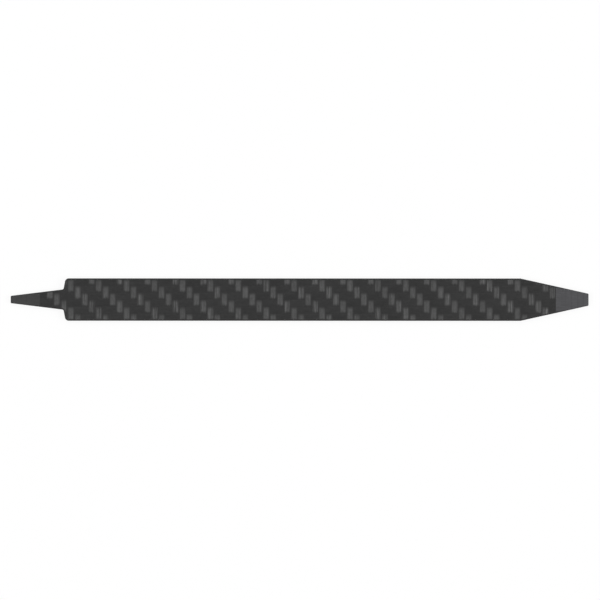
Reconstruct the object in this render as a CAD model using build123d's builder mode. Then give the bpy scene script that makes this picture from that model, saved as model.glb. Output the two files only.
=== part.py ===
"""Double-ended carbon-fibre spudger: a flat pry bar cut from one cured laminate.

The laminate is a symmetric stack of plies: a woven twill skin on each face and a core of
unidirectional plies between them. A fine blade is cut at one end and a chisel blade at the
other. Both are ground on both faces down to a thin edge, so every ply ends in a strip of its own
on the bevels and shows its edge along the sides.

Frame: +X from the fine blade to the chisel blade, +Y across the bar and +Z up through the
laminate. The origin is at the centre of the underside. Lengths are in millimetres.
"""

import os

from build123d import *

# ---- Outline, seen from above ----
overall_length = 165.0
body_width = 12.1

fine_blade_length = 15.1  # from the tip end to the root of the shoulder
fine_tip_width = 2.1
fine_root_width = 5.8
shoulder_lean = 0.6  # how far along the bar a shoulder leans on its way out to the full width
shoulder_root_radius = 0.5
shoulder_corner_radius = 1.1

chisel_taper_length = 19.45
chisel_tip_width = 3.45
taper_corner_radius = 6.0

tip_corner_radius = 0.3

# ---- Laminate: the skins are woven twill, the core plies are unidirectional ----
skin_ply_thickness = 0.25
core_ply_thickness = 0.15
core_half_layup = ["lengthwise", "crosswise", "lengthwise", "crosswise", "lengthwise"]

# ---- Ground ends, each with a steeper land next to its edge, and the deburred outline ----
fine_bevel_length = 8.4
fine_land_length = 0.9
fine_land_thickness = 0.45  # of the blade, where its bevel meets its land
fine_edge_thickness = 0.25

chisel_bevel_length = 9.4
chisel_land_length = 0.9
chisel_land_thickness = 0.5
chisel_edge_thickness = 0.28

edge_chamfer = 0.4

# ---- Worked out from the sizes above ----
core_layup = core_half_layup + core_half_layup[::-1]
thickness = 2 * skin_ply_thickness + len(core_layup) * core_ply_thickness
fine_end = -overall_length / 2
chisel_end = overall_length / 2
shoulder_root = fine_end + fine_blade_length
shoulder_top = shoulder_root + shoulder_lean
taper_start = chisel_end - chisel_taper_length

# One row for each end: the tip's X, the way from it into the bar, and the sizes of its ground faces.
ground_ends = [
    (
        fine_end,
        1,
        fine_bevel_length,
        fine_land_length,
        fine_land_thickness,
        fine_edge_thickness,
    ),
    (
        chisel_end,
        -1,
        chisel_bevel_length,
        chisel_land_length,
        chisel_land_thickness,
        chisel_edge_thickness,
    ),
]

# ---- The finished bar, before it is parted into its plies ----
with BuildPart() as bar:
    with BuildSketch() as outline:
        with BuildLine():
            Polyline(
                (fine_end, 0),
                (fine_end, fine_tip_width / 2),
                (shoulder_root, fine_root_width / 2),
                (shoulder_top, body_width / 2),
                (taper_start, body_width / 2),
                (chisel_end, chisel_tip_width / 2),
                (chisel_end, 0),
                close=True,
            )
        make_face()
        mirror(about=Plane.XZ)
        for corner_x, radius in (
            (shoulder_root, shoulder_root_radius),
            (shoulder_top, shoulder_corner_radius),
            (taper_start, taper_corner_radius),
        ):
            fillet(outline.vertices().filter_by_position(Axis.X, corner_x, corner_x), radius)
    extrude(amount=thickness)
    faces_edges = bar.edges().group_by(Axis.Z)
    chamfer(faces_edges[0] + faces_edges[-1], edge_chamfer)

    with BuildSketch(Plane.XZ.shift_origin((0, 0, thickness / 2))):
        for tip, inward, bevel_length, land_length, land_thickness, edge_thickness in ground_ends:
            bevel_start = tip + inward * bevel_length
            beyond_tip = tip - inward * land_length
            with BuildLine():
                Polyline(
                    (bevel_start, thickness / 2),
                    (tip + inward * land_length, land_thickness / 2),
                    (tip, edge_thickness / 2),
                    (beyond_tip, edge_thickness / 2),
                    (beyond_tip, thickness),
                    (bevel_start, thickness),
                    close=True,
                )
            make_face()
        mirror(about=Plane.XZ)
    extrude(amount=body_width, both=True, mode=Mode.SUBTRACT)
    tip_corners = bar.edges().filter_by(Axis.Z).group_by(Axis.X)
    fillet(tip_corners[0] + tip_corners[-1], tip_corner_radius)

# ---- The plies, from the underside up ----
plies = [("twill_skin_bottom", skin_ply_thickness)]
for number, direction in enumerate(core_layup, start=1):
    plies.append((f"core_ply_{number:02d}_{direction}", core_ply_thickness))
plies.append(("twill_skin_top", skin_ply_thickness))

os.makedirs("parts", exist_ok=True)
ply_bottom = 0.0
for ply_name, ply_thickness in plies:
    with BuildPart() as ply:
        add(bar.part)
        with Locations((0, 0, ply_bottom)):
            Box(
                2 * overall_length,
                2 * body_width,
                ply_thickness,
                align=(Align.CENTER, Align.CENTER, Align.MIN),
                mode=Mode.INTERSECT,
            )
    ply.part.label = ply_name
    export_step(ply.part, f"parts/{ply_name}.step")
    ply_bottom += ply_thickness
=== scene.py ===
"""The looks of the spudger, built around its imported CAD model, and the studio that shows it.

The two woven skins are meshes of their own, with the relief of a 2x2 twill in their outer faces. The
core plies are the CAD's, finished as ground and cut carbon fibre. Object lengths are in metres, and
lengths in the weave's and the materials' own formulas are in millimetres.
"""

import math

import bmesh
import bpy
import numpy as np
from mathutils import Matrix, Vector
from mathutils.geometry import delaunay_2d_cdt


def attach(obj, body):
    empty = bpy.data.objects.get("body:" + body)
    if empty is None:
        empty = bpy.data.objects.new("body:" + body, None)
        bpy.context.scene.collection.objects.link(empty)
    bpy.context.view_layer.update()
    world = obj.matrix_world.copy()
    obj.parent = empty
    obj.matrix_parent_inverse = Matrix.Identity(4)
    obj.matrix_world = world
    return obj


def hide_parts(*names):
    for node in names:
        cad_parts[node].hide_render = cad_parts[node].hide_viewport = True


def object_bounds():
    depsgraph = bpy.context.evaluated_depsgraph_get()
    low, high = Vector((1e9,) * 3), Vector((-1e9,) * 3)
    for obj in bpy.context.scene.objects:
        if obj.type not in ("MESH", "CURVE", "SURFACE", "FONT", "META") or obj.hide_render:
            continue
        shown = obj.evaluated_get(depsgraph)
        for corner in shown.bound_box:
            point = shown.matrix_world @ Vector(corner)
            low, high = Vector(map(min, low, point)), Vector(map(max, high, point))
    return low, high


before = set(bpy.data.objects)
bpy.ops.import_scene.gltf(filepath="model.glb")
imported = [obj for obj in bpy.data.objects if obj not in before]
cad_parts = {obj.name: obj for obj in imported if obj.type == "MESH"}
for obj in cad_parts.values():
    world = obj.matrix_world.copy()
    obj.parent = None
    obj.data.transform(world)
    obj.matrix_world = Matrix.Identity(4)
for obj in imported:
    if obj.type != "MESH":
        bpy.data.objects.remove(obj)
bpy.context.view_layer.update()
cad_low, cad_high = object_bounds()

MM = 0.001

# ---- The weave: a 2x2 twill, where each tow passes over two others and then under two ----
TOW_PITCH_X = 1.9905  # from one crosswise tow to the next
TOW_PITCH_Y = 1.995  # from one lengthwise tow to the next
TIP_TO_TOW = 16.24  # from the fine blade's tip to a border between two crosswise tows
WEAVE_START_X = cad_low.x / MM + TIP_TO_TOW
WEAVE_START_Y = 0.0  # a border between two lengthwise tows
TOW_RELIEF = 0.035  # from the crown of a tow down to the groove beside it
CROWN_ACROSS, CROWN_ALONG = 4, 6  # powers of a crown's outline: the higher, the flatter it is on top
TOW_LINES = (0.0, 0.05, 0.12, 0.22, 0.36, 0.5, 0.64, 0.78, 0.88, 0.95)  # mesh lines, as shares of a pitch
RIM_STEP = 0.25  # the most between two points along a woven face's rim
RIM_FADE = 0.3  # the relief dies out towards the rim over this distance
RIM_CLEAR = 0.1  # the mesh points inside the rim stay this far from it
SAME_PLACE = 1e-4  # corners that are nearer than this are one

# ---- A woven skin's UV map, on which its finish can be baked ----
MAP_ROWS = 3  # stretches of the woven face, one above the other
MAP_WOVEN, MAP_CUT = 0.7, 0.27  # shares of the map's height; the hidden inner face gets the rest
MAP_MARGIN = 0.5  # around each stretch

# ---- The laminate ----
THICKNESS = (cad_high.z - cad_low.z) / MM
SKIN_PLY = 0.25
CORE_PLY = 0.15

# ---- Fine detail, mostly as so many to a millimetre ----
STRANDS = 3.4  # bundles of fibres in a tow
FILAMENTS = 18.0
GRINDING_LINES = 12.0
CUT_FIBRES = 26.0  # fibre ends in a cut face
TOW_SEED = 50.0  # sets the noise of one tow far from that of the next

# ---- Linear colours, and shares of them ----
LENGTHWISE_TOW = 0.0166
# The crosswise tows' lighter colour is a painted sheen, where their fibres would catch the light
CROSSWISE_TOW_PAINTED_SHEEN = 0.0622
# The two blades share one ground finish: the chisel blade's lighter, bluer colour is painted light, and the
# fine blade's darker one is painted shade
GROUND_FINE_PAINTED_SHADE = (0.0383, 0.0383, 0.0383)
GROUND_CHISEL_PAINTED_LIGHT = (0.0660, 0.0660, 0.0703)
# The chamfers' flank colour is darker than the sides', painted shade along the edges
CHAMFER_FLANK_PAINTED_SHADE, CHAMFER_END = 0.0075, 0.0400  # fibres cut along and across, on the chamfers
SIDE_FLANK, SIDE_END = 0.0190, 0.0290  # and on the sides
# A ply's share of a ground face's colour: tape along and across the bar, and then tows likewise. The ones
# across the bar are lighter, a painted sheen where their fibres would catch the light from the ends
TAPE_ALONG, TAPE_ACROSS = 0.985, 1.02
TOW_ALONG, TOW_ACROSS = 0.94, 0.965


# ==== Shader trees ====


class Tree:
    """A material's node tree, with short calls, so that a pattern reads like its formula."""

    def __init__(self, name):
        self.material = bpy.data.materials.new(name)
        self.material.use_nodes = True
        self.nodes = self.material.node_tree.nodes
        self.links = self.material.node_tree.links
        self.nodes.clear()

    def put(self, socket, value):
        """Sets an input to a number, a tuple or another node's output."""
        if isinstance(value, bpy.types.NodeSocket):
            self.links.new(value, socket)
        else:
            socket.default_value = value

    def node(self, kind, inputs=(), **settings):
        made = self.nodes.new(kind)
        for setting, value in settings.items():
            setattr(made, setting, value)
        for name, value in dict(inputs).items():
            self.put(made.inputs[name], value)
        return made

    def math(self, operation, *values):
        made = self.nodes.new("ShaderNodeMath")
        made.operation = operation
        for socket, value in zip(made.inputs, values):
            self.put(socket, value)
        return made.outputs[0]

    def add(self, a, b):
        return self.math("ADD", a, b)

    def sub(self, a, b):
        return self.math("SUBTRACT", a, b)

    def mul(self, a, b):
        return self.math("MULTIPLY", a, b)

    def pick(self, share, a, b):
        """A number: a where share is 0 and b where it is 1."""
        made = self.node("ShaderNodeMix", data_type="FLOAT")
        for socket, value in zip(made.inputs[:4], (share, None, a, b)):
            if value is not None:
                self.put(socket, value)
        return made.outputs[0]

    def blend(self, share, a, b):
        """A colour: a where share is 0 and b where it is 1."""
        made = self.node("ShaderNodeMix", data_type="RGBA")
        for socket, value in ((made.inputs[0], share), (made.inputs[6], a), (made.inputs[7], b)):
            self.put(socket, value)
        return made.outputs[2]

    def grey(self, value):
        """A colour with the same red, green and blue."""
        return self.node("ShaderNodeCombineColor", {"Red": value, "Green": value, "Blue": value}).outputs[0]

    def vector(self, x, y, z):
        return self.node("ShaderNodeCombineXYZ", {"X": x, "Y": y, "Z": z}).outputs[0]

    def times(self, vector, factor):
        """A vector or a colour, multiplied by a number."""
        return self.node("ShaderNodeVectorMath", {0: vector, "Scale": factor}, operation="SCALE").outputs[0]

    def ramp(self, value, start, end, low=0.0, high=1.0):
        """Runs smoothly from low to high as value goes from start to end."""
        made = self.node("ShaderNodeMapRange", interpolation_type="SMOOTHSTEP")
        for socket, number in zip(made.inputs[:5], (value, start, end, low, high)):
            self.put(socket, number)
        return made.outputs[0]

    def falloff(self, value, power):
        """1 where value is 0, down to 0 where it is 1 or -1."""
        return self.sub(1.0, self.math("POWER", self.math("ABSOLUTE", value), power))

    def place(self):
        """The point on the part in millimetres, as x, y and z."""
        point = self.node("ShaderNodeTexCoord").outputs["Object"]
        return tuple(self.node("ShaderNodeSeparateXYZ", {0: self.times(point, 1 / MM)}).outputs)

    def facing(self):
        """How far the surface faces along the part's x, y and z, each from 0 to 1."""
        normal = self.node("ShaderNodeTexCoord").outputs["Normal"]
        parts = self.node("ShaderNodeSeparateXYZ", {0: normal}).outputs
        return tuple(self.math("ABSOLUTE", part) for part in parts)

    def noise(self, vector, scale=1.0, detail=2.0, roughness=0.5):
        """Smooth noise from about 0 to 1, around 0.5."""
        made = self.node("ShaderNodeTexNoise", {"Vector": vector, "Scale": scale, "Detail": detail})
        made.inputs["Roughness"].default_value = roughness
        return made.outputs[0]

    def stretched_noise(self, place, densities, **settings):
        """Noise that is stretched along each of three axes, by its own density there."""
        return self.noise(self.vector(*map(self.mul, place, densities)), **settings)

    def dice(self, vector):
        """One random number from 0 to 1 for each value of a vector."""
        return self.node("ShaderNodeTexWhiteNoise", {"Vector": vector}).outputs["Value"]

    def bump(self, height, distance, strength=1.0, normal=None):
        """A normal from a height of 0 to 1, where 1 is distance, in metres."""
        made = self.node("ShaderNodeBump", {"Height": height, "Distance": distance, "Strength": strength})
        if normal is not None:
            self.put(made.inputs["Normal"], normal)
        return made.outputs[0]

    def finish(self, shader):
        self.links.new(shader, self.node("ShaderNodeOutputMaterial").inputs["Surface"])
        return self.material


# ==== The twill, as numbers for the mesh and as nodes for its material ====


def weave_height(x, y):
    """The height of the woven face at points x, y: 0 at the tows' crowns and -TOW_RELIEF in a groove."""
    across_x, across_y = (x - WEAVE_START_X) / TOW_PITCH_X, (y - WEAVE_START_Y) / TOW_PITCH_Y
    column, row = np.floor(across_x), np.floor(across_y)
    step = (column + row - 1) % 4  # 0 and 1 where the crosswise tow is on top, 2 and 3 where it is below
    along = np.where(step < 2, step + across_y - row - 1, step + across_x - column - 3)
    across = 2 * np.where(step < 2, across_x - column, across_y - row) - 1
    crown = (1 - np.abs(across) ** CROWN_ACROSS) * (1 - np.abs(along) ** CROWN_ALONG)
    return TOW_RELIEF * (crown - 1)


def twill(tree, x, y):
    """The tow on top at a point.

    Gives 1 where it is the crosswise one, the place across and along its float, each from -1 to 1,
    and a random number for each float.
    """
    u = tree.math("DIVIDE", tree.sub(x, WEAVE_START_X), TOW_PITCH_X)
    v = tree.math("DIVIDE", tree.sub(y, WEAVE_START_Y), TOW_PITCH_Y)
    column, row = tree.math("FLOOR", u), tree.math("FLOOR", v)
    in_column, in_row = tree.sub(u, column), tree.sub(v, row)
    step = tree.math("FLOORED_MODULO", tree.sub(tree.add(column, row), 1.0), 4.0)
    crosswise = tree.math("LESS_THAN", step, 1.5)
    along_x, along_y = tree.sub(tree.add(step, in_column), 3.0), tree.sub(tree.add(step, in_row), 1.0)
    along = tree.pick(crosswise, along_x, along_y)
    across = tree.sub(tree.mul(2.0, tree.pick(crosswise, in_row, in_column)), 1.0)
    first_column = tree.pick(crosswise, tree.sub(column, tree.sub(step, 2.0)), column)
    first_row = tree.pick(crosswise, row, tree.sub(row, step))
    own = tree.dice(tree.vector(first_column, first_row, crosswise))
    return crosswise, across, along, own


# ==== Materials ====


def woven_material():
    """Cured twill: the tows across the bar are lighter, with a painted sheen where they would catch the
    light, and the tows along it stay dark.
    """
    tree = Tree("woven_twill")
    x, y, _ = tree.place()
    crosswise, across, along, own = twill(tree, x, y)
    across_mm = tree.pick(crosswise, y, x)
    along_mm = tree.pick(crosswise, x, y)
    in_tow = (across_mm, along_mm, own)
    strands = tree.stretched_noise(in_tow, (STRANDS, 0.12, TOW_SEED), detail=1.5)
    filaments = tree.stretched_noise(in_tow, (FILAMENTS, 0.6, TOW_SEED), detail=4.0)

    # The painted sheen on a crosswise float ends softly, and a little sooner in some filaments than in
    # others
    side = tree.math("ABSOLUTE", across)
    end = tree.math("ABSOLUTE", along)
    reach = tree.add(along, tree.ramp(filaments, 0.3, 0.7, -0.12, 0.12))
    painted_sheen_share = tree.mul(tree.ramp(reach, 1.05, 0.5), tree.ramp(reach, -0.96, -0.58))
    painted_sheen_share = tree.mul(crosswise, tree.mul(painted_sheen_share, tree.ramp(side, 1.03, 0.42)))

    # Some floats are much more streaky than others
    second_chance = tree.math("FRACT", tree.mul(own, 7.3))
    streakiness = tree.ramp(second_chance, 0.3, 1.0, 0.7, 3.6)
    streaks = tree.add(1.0, tree.mul(streakiness, tree.sub(strands, 0.5)))
    fine_streaks = tree.ramp(filaments, 0.25, 0.75, 0.72, 1.28)
    # Each float's tone differs at random, and it is lighter towards one end: a painted highlight along the
    # float
    float_tone_and_painted_gradient = tree.mul(tree.ramp(own, 0.0, 1.0, 0.92, 1.07), tree.ramp(along, -1.0, 1.0, 1.07, 0.93))
    # Painted sheen: the crosswise tows' light colour stands in for their gloss
    painted_sheen_level = tree.mul(tree.mul(float_tone_and_painted_gradient, tree.math("MAXIMUM", streaks, 0.3)), CROSSWISE_TOW_PAINTED_SHEEN)
    dull = tree.mul(tree.ramp(own, 0.0, 1.0, 0.90, 1.14), LENGTHWISE_TOW)
    level = tree.mul(tree.pick(painted_sheen_share, dull, painted_sheen_level), fine_streaks)

    # The fibres wave a little, and the soft shade this gives each tow is painted into its colour
    painted_wave_shade = tree.stretched_noise(in_tow, (1.4, 1.1, TOW_SEED), detail=2.0)
    level = tree.mul(level, tree.ramp(painted_wave_shade, 0.25, 0.75, 0.88, 1.12))

    # Dark resin lines between the tows, and a darker pit where four of them meet
    line = tree.math("MAXIMUM", tree.ramp(side, 0.93, 1.0), tree.ramp(end, 0.96, 1.0))
    pit = tree.mul(tree.ramp(side, 0.82, 0.97), tree.ramp(end, 0.88, 0.98))
    level = tree.mul(level, tree.ramp(line, 0.0, 1.0, 1.0, 0.72))
    level = tree.mul(level, tree.ramp(pit, 0.0, 1.0, 1.0, 0.5))

    ripple = tree.noise(tree.vector(x, y, 0.0), scale=0.9, detail=1.0)
    shader = tree.node(
        "ShaderNodeBsdfPrincipled",
        {
            "Base Color": tree.grey(level),
            "Roughness": tree.add(tree.ramp(strands, 0.3, 0.7, 0.47, 0.41), tree.mul(line, 0.1)),
            "Normal": tree.bump(filaments, 0.005 * MM, normal=tree.bump(ripple, 0.01 * MM)),
        },
    )
    return tree.finish(shader.outputs[0])


def cut_tows(tree, x, y, z):
    """The tows that show where a woven ply is cut, as the one on top bulges into the one below it.

    Gives 1 where the tow runs across the bar, and a share that rises to 1 at the tow's border.
    """
    crosswise, across, along, _ = twill(tree, x, y)
    bulge = tree.mul(tree.falloff(across, CROWN_ACROSS), tree.falloff(along, CROWN_ALONG))
    # From 15% of the ply's thickness at the edge of a tow to 75% in its middle
    border = tree.mul(SKIN_PLY, tree.add(0.15, tree.mul(0.6, bulge)))
    depth = tree.sub(THICKNESS / 2, tree.math("ABSOLUTE", tree.sub(z, THICKNESS / 2)))
    below = tree.math("GREATER_THAN", depth, border)
    runs_across = tree.math("ABSOLUTE", tree.sub(crosswise, below))
    return runs_across, tree.ramp(tree.math("ABSOLUTE", tree.sub(depth, border)), 0.025, 0.005)


def core_seam(tree, z):
    """A share that rises to 1 at the borders between core plies."""
    ply = tree.math("FRACT", tree.add(tree.mul(tree.sub(z, SKIN_PLY), 1 / CORE_PLY), 0.5))
    return tree.ramp(tree.math("ABSOLUTE", tree.sub(ply, 0.5)), 0.16, 0.04)


def ground_material(name, fibres_along):
    """Cut and ground carbon fibre, for a ply whose fibres run along "x" or "y", or "both" in a woven one.

    The blades' faces have fine grinding lines, and the sides and chamfers show the ends or the flanks
    of the fibres.
    """
    tree = Tree(name)
    x, y, z = tree.place()
    facing_x, facing_y, facing_z = tree.facing()
    on_blade = tree.ramp(facing_z, 0.90, 0.97)
    on_side = tree.ramp(facing_z, 0.6, 0.3)
    # Each ply's share of the ground colour holds a painted sheen, lighter where the fibres run across the
    # bar
    if fibres_along == "both":
        runs_across, seam = cut_tows(tree, x, y, z)
        ends = tree.pick(runs_across, facing_x, facing_y)
        ply_tone_and_painted_sheen = tree.pick(runs_across, TOW_ALONG, TOW_ACROSS)
    else:
        ends, ply_tone_and_painted_sheen = (facing_x, TAPE_ALONG) if fibres_along == "x" else (facing_y, TAPE_ACROSS)
        seam = core_seam(tree, z)

    # The ground faces, with painted light on the chisel blade and painted shade on the fine one
    lines = tree.stretched_noise((x, y, z), (0.25, GRINDING_LINES, 3.0), detail=4.0, roughness=0.6)
    patches = tree.stretched_noise((x, y, z), (0.8, 0.8, 1.0), detail=2.0)
    # Painted light and shade: the blade beyond x = 0 gets the lighter colour
    blade_with_painted_light_and_shade = tree.blend(tree.math("GREATER_THAN", x, 0.0), (*GROUND_FINE_PAINTED_SHADE, 1.0), (*GROUND_CHISEL_PAINTED_LIGHT, 1.0))
    tone = tree.mul(tree.ramp(lines, 0.25, 0.75, 0.82, 1.18), tree.ramp(patches, 0.3, 0.7, 0.97, 1.03))
    blade_with_painted_light_and_shade = tree.times(blade_with_painted_light_and_shade, tree.mul(tree.mul(tone, ply_tone_and_painted_sheen), tree.ramp(seam, 0.0, 1.0, 1.0, 0.90)))

    # The sides and chamfers, where the chamfers' fibre flanks are darker than the sides', as painted shade
    run = tree.add(x, tree.mul(0.3, y))
    flanks = tree.stretched_noise((run, y, z), (0.35, 0.3, CUT_FIBRES), detail=3.0)
    grain = tree.noise(tree.vector(x, y, z), scale=CUT_FIBRES, detail=3.0)
    # Painted shade: on the chamfers the fibre flanks take the darker colour
    flank = tree.mul(tree.ramp(flanks, 0.3, 0.7, 0.74, 1.26), tree.pick(on_side, CHAMFER_FLANK_PAINTED_SHADE, SIDE_FLANK))
    fibre_end = tree.mul(tree.ramp(grain, 0.3, 0.7, 0.7, 1.3), tree.pick(on_side, CHAMFER_END, SIDE_END))
    edge = tree.mul(tree.pick(ends, flank, fibre_end), tree.ramp(seam, 0.0, 1.0, 1.0, 0.55))

    height = tree.pick(on_blade, tree.pick(ends, flanks, grain), lines)
    roughness = tree.pick(on_blade, tree.pick(ends, 0.5, 0.7), tree.ramp(lines, 0.2, 0.8, 0.52, 0.66))
    shader = tree.node(
        "ShaderNodeBsdfPrincipled",
        {
            "Base Color": tree.blend(on_blade, tree.grey(edge), blade_with_painted_light_and_shade),
            "Roughness": roughness,
            "Normal": tree.bump(height, 0.01 * MM),
        },
    )
    shader.inputs["Specular IOR Level"].default_value = 0.3
    return tree.finish(shader.outputs[0])


def studio_material(name, shown):
    """A pale backdrop that keeps shadows.

    To the camera and in reflections, a share of it, given by shown, is white by itself.
    """
    tree = Tree(name)
    x, y, _ = tree.place()
    mottle = tree.noise(tree.vector(x, y, 0.0), scale=0.01)
    paper = tree.grey(tree.ramp(mottle, 0.0, 1.0, 0.98, 1.0))
    surface = tree.node("ShaderNodeBsdfDiffuse", {"Color": paper, "Roughness": 0.5}).outputs[0]
    own = tree.node("ShaderNodeEmission", {"Color": (1, 1, 1, 1), "Strength": 1.0}).outputs[0]
    path = tree.node("ShaderNodeLightPath").outputs
    seen = tree.math("MAXIMUM", path["Is Camera Ray"], path["Is Glossy Ray"])
    seen = tree.math("MAXIMUM", seen, path["Is Transmission Ray"])
    mixed = tree.node("ShaderNodeMixShader", {"Fac": tree.mul(seen, shown), 1: surface, 2: own}).outputs[0]
    return tree.finish(mixed)


# ==== Woven skins ====


def rim_in_order(work):
    """The corners around a bmesh's open rim, in order."""
    ends = {}
    for edge in work.edges:
        if edge.is_boundary:
            for one, other in (edge.verts, reversed(edge.verts)):
                ends.setdefault(one, []).append(other)
    first = next(iter(ends))
    order, here = [first], ends[first][0]
    while here is not first:
        one, other = ends[here]
        order.append(here)
        here = other if one is order[-2] else one
    return order


def weave_points(rim):
    """Mesh points inside a rim and clear of it, where lines that follow the tows cross."""
    low, high = rim.min(0), rim.max(0)
    lines = []
    for axis, start, pitch in ((0, WEAVE_START_X, TOW_PITCH_X), (1, WEAVE_START_Y, TOW_PITCH_Y)):
        tows = np.arange(math.floor((low[axis] - start) / pitch), math.ceil((high[axis] - start) / pitch))
        lines.append(start + pitch * (tows[:, None] + np.array(TOW_LINES)).ravel())
    points = np.stack(np.meshgrid(*lines), axis=-1).reshape(-1, 2)
    ahead = np.roll(rim, -1, axis=0)
    inside = np.zeros(len(points), bool)
    for (x1, y1), (x2, y2) in zip(rim, ahead):
        if y1 != y2:
            spans = (y1 > points[:, 1]) != (y2 > points[:, 1])
            inside ^= spans & (points[:, 0] < x1 + (points[:, 1] - y1) * (x2 - x1) / (y2 - y1))
    points = points[inside]
    return points[rim_distance(points, rim) > RIM_CLEAR]


def rim_distance(points, rim):
    """The distance from each point to the nearest stretch of the rim."""
    start, run = rim, np.roll(rim, -1, axis=0) - rim
    length = (run**2).sum(1)
    near = []
    for some in np.array_split(points, 1 + len(points) // 2000):
        gap = some[:, None] - start
        share = np.clip((gap * run).sum(2) / length, 0, 1)
        near.append(np.sqrt(((gap - share[..., None] * run) ** 2).sum(2)).min(1))
    return np.concatenate(near)


def add_map(work, level, outward):
    """Lays a skin's faces out on a UV map of their own, on which their finish can be baked.

    The woven face lies in stretches, one above the other, so that its fibres stay sharp. The cut faces
    follow, with the sides folded out round the outline, and then a thin strip for the hidden inner face.
    """
    layer = work.loops.layers.uv.new("OFBake")
    low, high = cad_low / MM, cad_high / MM
    stretch = (high.x - low.x) / MAP_ROWS
    work.normal_update()
    for face in work.faces:
        first, last, bottom, height = low.x, high.x, MAP_WOVEN, MAP_CUT
        fold = Vector(face.normal.xy).normalized()
        if face.material_index == 0:
            row = int((outward * face.calc_center_median().x / MM - low.x) / stretch)
            first, last = low.x + row * stretch, low.x + (row + 1) * stretch
            bottom, height = MAP_WOVEN * row / MAP_ROWS, MAP_WOVEN / MAP_ROWS
            fold = Vector((0.0, 0.0))
        elif outward * face.normal.z < -0.5:
            bottom, height = MAP_WOVEN + MAP_CUT, 1 - MAP_WOVEN - MAP_CUT
        for corner in face.loops:
            place = (corner.vert.co.xy + fold * abs(corner.vert.co.z - level)) / MM
            along = (outward * place.x - first + MAP_MARGIN) / (last - first + 2 * MAP_MARGIN)
            across = (place.y - low.y + MAP_MARGIN) / (high.y - low.y + 2 * MAP_MARGIN)
            corner[layer].uv = (along, bottom + height * across)


def woven_skin(name, node, outward):
    """A skin ply with its weave's relief.

    Its outer face, which looks up where outward is 1 and down where it is -1, is made anew on lines
    that follow the tows. The crowns of the tows lie at the CAD's face.
    """
    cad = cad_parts[node].data
    work = bmesh.new()
    corners = [work.verts.new(corner.co) for corner in cad.vertices]
    for face in cad.polygons:
        work.faces.new([corners[n] for n in face.vertices])
    bmesh.ops.remove_doubles(work, verts=work.verts, dist=SAME_PLACE * MM)
    level = outward * max(outward * corner.co.z for corner in work.verts)

    def is_outer(face):
        return all(abs(corner.co.z - level) < SAME_PLACE * MM for corner in face.verts)

    rim_edges = [e for e in work.edges if sum(is_outer(f) for f in e.link_faces) == 1]
    for edge in rim_edges:
        cuts = math.ceil(edge.calc_length() / (RIM_STEP * MM)) - 1
        if cuts > 0:
            bmesh.ops.subdivide_edges(work, edges=[edge], cuts=cuts)
    bmesh.ops.delete(work, geom=[f for f in work.faces if is_outer(f)], context="FACES")
    for face in work.faces:
        face.material_index = 1

    rim_corners = rim_in_order(work)
    rim = np.array([corner.co[:2] for corner in rim_corners], float) / MM
    points = weave_points(rim)
    fade = np.clip(rim_distance(points, rim) / RIM_FADE, 0, 1)
    depth = weave_height(points[:, 0], points[:, 1]) * fade * fade * (3 - 2 * fade)
    flat = [Vector(point) for point in np.concatenate([rim, points])]
    _, _, triangles, sources, _, _ = delaunay_2d_cdt(flat, [], [list(range(len(rim)))], 1, 1e-6)
    inner = [work.verts.new((x * MM, y * MM, level + outward * z * MM)) for (x, y), z in zip(points, depth)]
    every = [*rim_corners, *inner]
    for triangle in triangles:
        turn = triangle if outward > 0 else reversed(triangle)
        face = work.faces.new([every[sources[n][0]] for n in turn])
        face.smooth = True
    for edge in work.edges:
        edge.smooth = len({face.material_index for face in edge.link_faces}) == 1
    add_map(work, level, outward)
    mesh = bpy.data.meshes.new(name)
    work.to_mesh(mesh)
    work.free()

    skin = bpy.data.objects.new(name, mesh)
    bpy.context.scene.collection.objects.link(skin)
    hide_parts(node)
    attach(skin, "root")
    return skin


# ==== Studio ====


def backdrop(material):
    """A floor that rises into a low wall all round, far from the part, and lies just below it."""
    radius, bend, height = 3.0, 0.8, 1.4
    sides, bend_points = 64, 9
    gap = 0.02 * MM
    profile = [(0.0, 0.0)]
    profile += [
        (radius - bend + bend * math.sin(turn), bend - bend * math.cos(turn))
        for turn in np.linspace(0, math.pi / 2, bend_points)
    ]
    profile.append((radius, height))
    work = bmesh.new()
    line = [work.verts.new((r, 0.0, z)) for r, z in profile]
    edges = [work.edges.new(pair) for pair in zip(line, line[1:])]
    bmesh.ops.spin(work, geom=line + edges, axis=(0, 0, 1), cent=(0, 0, 0), angle=2 * math.pi, steps=sides)
    bmesh.ops.remove_doubles(work, verts=work.verts, dist=1e-5)
    bmesh.ops.recalc_face_normals(work, faces=work.faces)
    for face in work.faces:
        face.smooth = True
    mesh = bpy.data.meshes.new("backdrop")
    work.to_mesh(mesh)
    work.free()
    mesh.materials.append(material)
    floor = bpy.data.objects.new("backdrop", mesh)
    floor.location.z = cad_low.z - gap
    bpy.context.scene.collection.objects.link(floor)


def aim(thing, target):
    thing.rotation_mode = "QUATERNION"
    thing.rotation_quaternion = (target - thing.location).to_track_quat("-Z", "Y")


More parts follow.
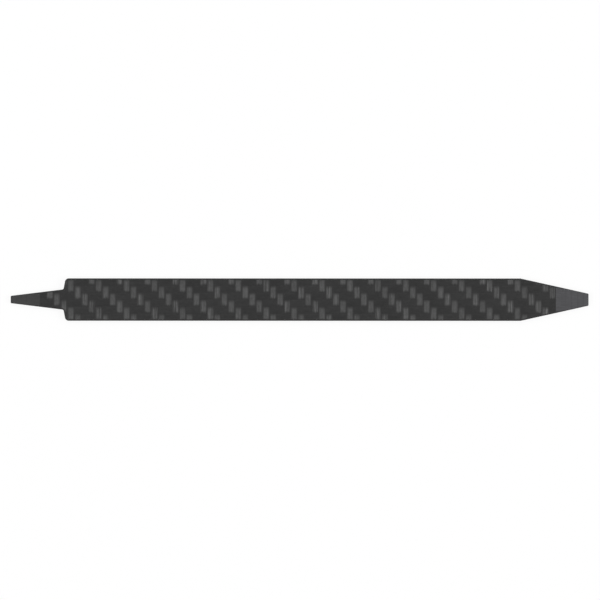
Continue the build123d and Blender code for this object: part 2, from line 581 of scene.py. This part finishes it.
def softbox(name, place, size, power):
    lamp = bpy.data.lights.new(name, "AREA")
    lamp.shape = "RECTANGLE"
    lamp.size, lamp.size_y = size
    lamp.energy = power
    made = bpy.data.objects.new(name, lamp)
    made.location = place
    aim(made, (cad_low + cad_high) / 2)
    bpy.context.scene.collection.objects.link(made)


def studio_light():
    """Softboxes past both ends of the part, a weaker one behind it, and an even sky."""
    softbox("softbox_left", (-1.0, -0.1, 0.85), (0.9, 0.6), 8.2)
    softbox("softbox_right", (1.0, -0.1, 0.85), (0.9, 0.6), 9.3)
    softbox("softbox_back", (0.0, 0.9, 1.1), (1.2, 0.6), 4.4)
    world = bpy.data.worlds.new("sky")
    world.use_nodes = True
    sky = world.node_tree.nodes["Background"]
    sky.inputs["Color"].default_value = (1, 1, 1, 1)
    sky.inputs["Strength"].default_value = 0.25
    bpy.context.scene.world = world


def camera():
    """Straight above the part, through a long lens."""
    view = bpy.data.cameras.new("camera")
    view.lens = 200.0
    view.sensor_width = 36.0
    view.clip_start, view.clip_end = 0.01, 20.0
    shown_width = 171.35 * MM
    off_centre = 0.11 * MM
    turn = math.radians(0.02)
    made = bpy.data.objects.new("camera", view)
    middle = (cad_low + cad_high) / 2
    distance = shown_width * view.lens / view.sensor_width
    made.location = (middle.x + off_centre, middle.y - off_centre, middle.z + distance)
    made.rotation_euler.z = turn
    bpy.context.scene.collection.objects.link(made)
    bpy.context.scene.camera = made


# ==== Making it ====

woven = woven_material()
cut_woven = ground_material("cut_woven_ply", "both")
for skin_name, skin_node, skin_side in (
    ("woven_skin_top", "twill_skin_top", 1),
    ("woven_skin_bottom", "twill_skin_bottom", -1),
):
    made_skin = woven_skin(skin_name, skin_node, skin_side)
    made_skin.data.materials.append(woven)
    made_skin.data.materials.append(cut_woven)

cut_plies = {
    "lengthwise": ground_material("cut_lengthwise_ply", "x"),
    "crosswise": ground_material("cut_crosswise_ply", "y"),
}
for node_name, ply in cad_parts.items():
    direction = node_name.rsplit("_", 1)[1]
    if direction in cut_plies:
        ply.material_slots[0].link = "OBJECT"
        ply.material_slots[0].material = cut_plies[direction]

backdrop(studio_material("pale_backdrop", 0.9))
studio_light()
camera()
bpy.context.scene.view_settings.view_transform = "Standard"

bpy.context.view_layer.update()
